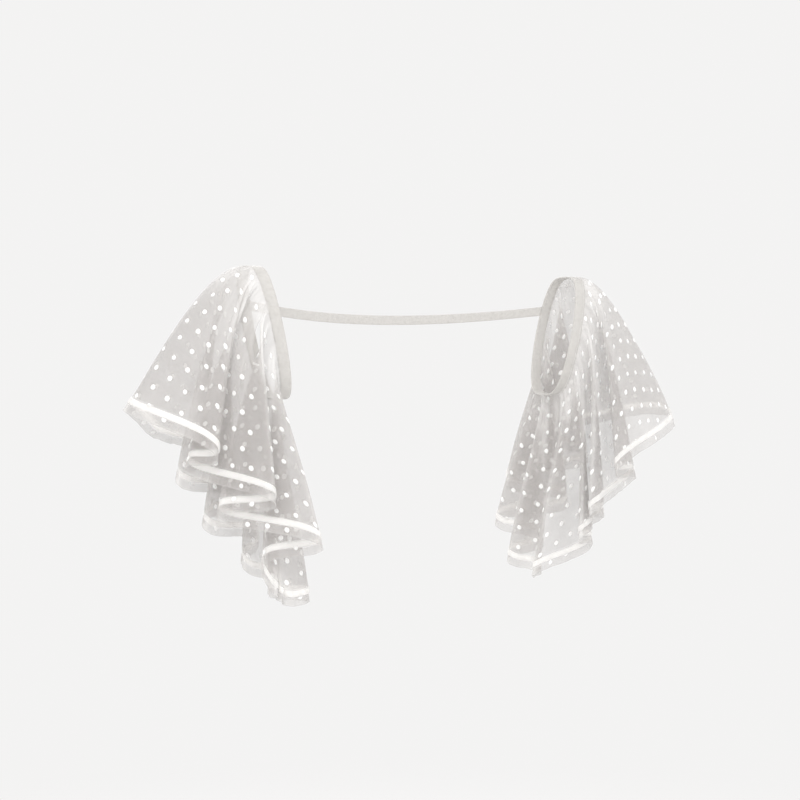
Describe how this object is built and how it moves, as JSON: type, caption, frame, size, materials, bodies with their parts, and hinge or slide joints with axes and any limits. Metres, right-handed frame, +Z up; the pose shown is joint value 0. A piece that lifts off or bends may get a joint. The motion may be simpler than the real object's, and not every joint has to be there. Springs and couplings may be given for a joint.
{
  "type": "bridal shrug jacket",
  "caption": "Sheer bridal shrug jacket of dotted net: gathered flutter sleeves with satin ribbon near the raw hem, on armhole bands joined by a back strap",
  "frame": {"origin": "Midway between the two shoulder tops, where the armhole bands hang on the wearer", "axes": "+X to the wearer's left, +Y to the wearer's back, +Z up; the wearer faces -Y"},
  "size_m": [0.6958, 0.2022, 0.3561],
  "materials": {
    "dotted_net": "sheer white net with raised opaque dots",
    "band_net": "folded white net, half opaque, matt",
    "satin_ribbon": "white satin, soft sheen"
  },
  "bodies": {
    "root": {"armhole_band_right": "band_net", "flounce_right": "dotted_net", "ribbon_right": "satin_ribbon", "armhole_band_left": "band_net", "flounce_left": "dotted_net", "ribbon_left": "satin_ribbon", "back_strap": "band_net"}
  },
  "joints": []
}
